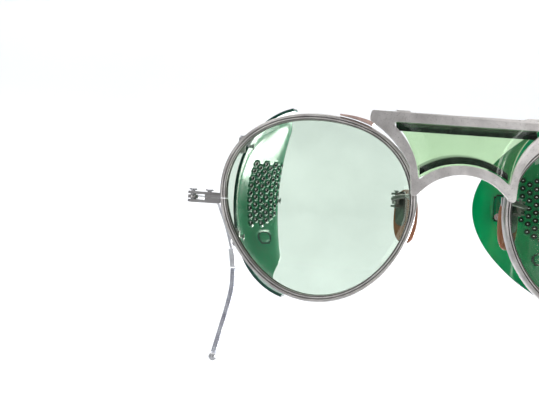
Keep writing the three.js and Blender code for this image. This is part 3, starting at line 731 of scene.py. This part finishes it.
def narrow_back(label, sign):
    """The pad's metal back is only a tongue as wide as its ears."""
    centre, half, share = 1.2, 0.95, 0.3

    def shape(point):
        local = turned((sign * point.x - PAD_X[label], point.y - PAD["y"], point.z), PAD_SPLAY[label])
        off = local[1] - centre
        if abs(off) > half:
            off = math.copysign(half + (abs(off) - half) * share, off)
        moved = (local[0], centre + off, local[2])
        return Vector(placed([moved], (PAD_X[label], PAD["y"], 0), -PAD_SPLAY[label], sign)[0])
    return shape


def add_metalwork():
    refine("bridge_plate", "front", NICKEL, "nickel_silver", width=0.3)
    for label, sign in SIDES:
        for part in ("upper_end_piece", "lower_end_piece"):
            refine(f"{label}_{part}", "front", HINGE_SILVER_SHADED, "nickel_silver", shape=closed_seam)
        for part in ("pad_arm", "shield_upper_bracket", "shield_lower_bracket"):
            refine(f"{label}_{part}", "front", HINGE_SILVER_SHADED, "nickel_silver")
        refine(f"{label}_top_lug", "front", BRAZE, "braze")
        for part in ("rim_screw", "hinge_screw", "shield_upper_pin", "shield_lower_pin"):
            refine(f"{label}_{part}", "front", STEEL, "steel", width=0.08)
        for part in ("shield_upper_leaf", "shield_lower_leaf", "temple_keeper"):
            refine(f"{label}_{part}", f"{label}_shield", HINGE_SILVER_SHADED, "nickel_silver", width=0.08)
        for part in ("shield_upper_rivet", "shield_lower_rivet", "keeper_rivet"):
            refine(f"{label}_{part}", f"{label}_shield", STEEL, "steel", width=0.14)
        refine(f"{label}_temple_butt", f"{label}_temple", HINGE_SILVER_SHADED, "nickel_silver")
        for part in ("cable_ferrule", "cable_bead"):
            refine(f"{label}_{part}", f"{label}_temple", STEEL, "steel")
        refine(f"{label}_pad_back", f"{label}_pad", HINGE_SILVER_SHADED, "nickel_silver", width=0.1,
               shape=narrow_back(label, sign))
        refine(f"{label}_pad_pin", f"{label}_pad", STEEL, "steel", width=0.08)


# ------------------------------------------------------------------ stage and light
def stage_material():
    made, tree, shader, _ = blank("studio_floor")
    tone = ramp(tree, noise(tree, 6, 3), (0.3, (0.82, 0.83, 0.855)), (0.8, (0.845, 0.855, 0.875)))
    tree.links.new(tone, shader.inputs["Base Color"])
    shader.inputs["Roughness"].default_value = 0.25
    shader.inputs["IOR"].default_value = 1.35
    return made


def add_stage():
    """Pale floor that turns up into a pale backdrop far behind the glasses."""
    half, bend_y, radius, height, steps = 2500, 620, 160, 2200, 12
    line = [(-half, 0), (200, 0), (bend_y, 0)]
    line += [(bend_y + radius * math.sin(a), radius - radius * math.cos(a))
             for a in (math.pi / 2 * i / steps for i in range(1, steps + 1))]
    line += [(bend_y + radius, height)]
    rows = [[(x, y, FLOOR_Z + z) for x in (-half, 0, half)] for y, z in line]
    verts = [p for row in rows for p in row]
    stage = new_object("studio_sweep", verts, sheet_faces(rows, 0), [stage_material()], sharp=60)


# Name, place, aim, size and power of each lamp, in metres and watts.
LAMPS = (
    ("overhead", (-0.25, 0.15, 0.95), (0, 0.03, 0), (0.9, 0.7), 0.4),
    ("left_strip", (-0.5, -0.75, 0.12), (0, 0, 0), (0.14, 0.5), 1.3),
    ("right_strip", (0.54, -0.73, 0.12), (0, 0, 0), (0.06, 0.5), 0.8),
    ("left_card", (-0.2, -0.29, 0.04), (0, -0.01, 0.015), (0.03, 0.18), 0.06),
    ("right_card", (0.14, -0.29, 0.04), (0, -0.01, 0.015), (0.03, 0.18), 0.09),
    ("low", (0.045, 0.295, -0.038), (-0.05, 0.02, 0.018), (0.16, 0.036), 0.12),
    ("glint", (0.1, 0.1, -0.035), (-0.045, 0.032, 0.015), (0.12, 0.034), 0.6),
    ("backdrop", (0.0, 0.42, 0.75), (0, 0.8, 0.22), (1.4, 0.5), 7.6),
)


def add_lamp(name, place, aim, size, power):
    data = bpy.data.lights.new(name, "AREA")
    data.shape = "RECTANGLE"
    data.size, data.size_y = size
    data.energy = power
    lamp = bpy.data.objects.new(name, data)
    lamp.location = Vector(place)
    lamp.rotation_euler = (Vector(aim) - Vector(place)).to_track_quat("-Z", "Y").to_euler()
    lamp.visible_camera = False
    bpy.context.scene.collection.objects.link(lamp)


def add_light():
    """A white room, dark towards the camera so that the metal has contrast."""
    world = bpy.data.worlds.new("studio")
    bpy.context.scene.world = world
    world.use_nodes = True
    tree = world.node_tree
    aim = add(tree, "ShaderNodeTexCoord").outputs["Generated"]
    parts = add(tree, "ShaderNodeSeparateXYZ", {"Vector": aim})
    lift = add(tree, "ShaderNodeMath", {0: parts.outputs["Y"], 1: parts.outputs["Z"]}, operation="ADD")
    room = ramp(tree, add(tree, "ShaderNodeMath", {0: lift.outputs[0], 1: 0.35, 2: 0.5},
                          operation="MULTIPLY_ADD").outputs[0],
                (0.2, (0.10, 0.102, 0.105)), (0.45, (0.42, 0.425, 0.43)), (0.7, (0.92, 0.935, 0.95)))
    seen = add(tree, "ShaderNodeLightPath").outputs["Is Camera Ray"]
    color = mix(tree, seen, room, (1.0, 1.0, 1.0))
    tree.links.new(color, tree.nodes["Background"].inputs["Color"])
    tree.nodes["Background"].inputs["Strength"].default_value = 1.0
    for name, *lamp in LAMPS:
        add_lamp(name, *lamp)


def main():
    add_camera()
    add_stage()
    add_light()
    grid = shield_mesh()
    for label, sign in SIDES:
        add_rim(label, sign)
        add_lens(label, sign)
        add_shield(label, sign, grid)
        add_temple(label, sign)
        add_pad(label, sign)
    add_guard()
    add_metalwork()
    view = bpy.context.scene.view_settings
    view.view_transform = "Standard"


main()
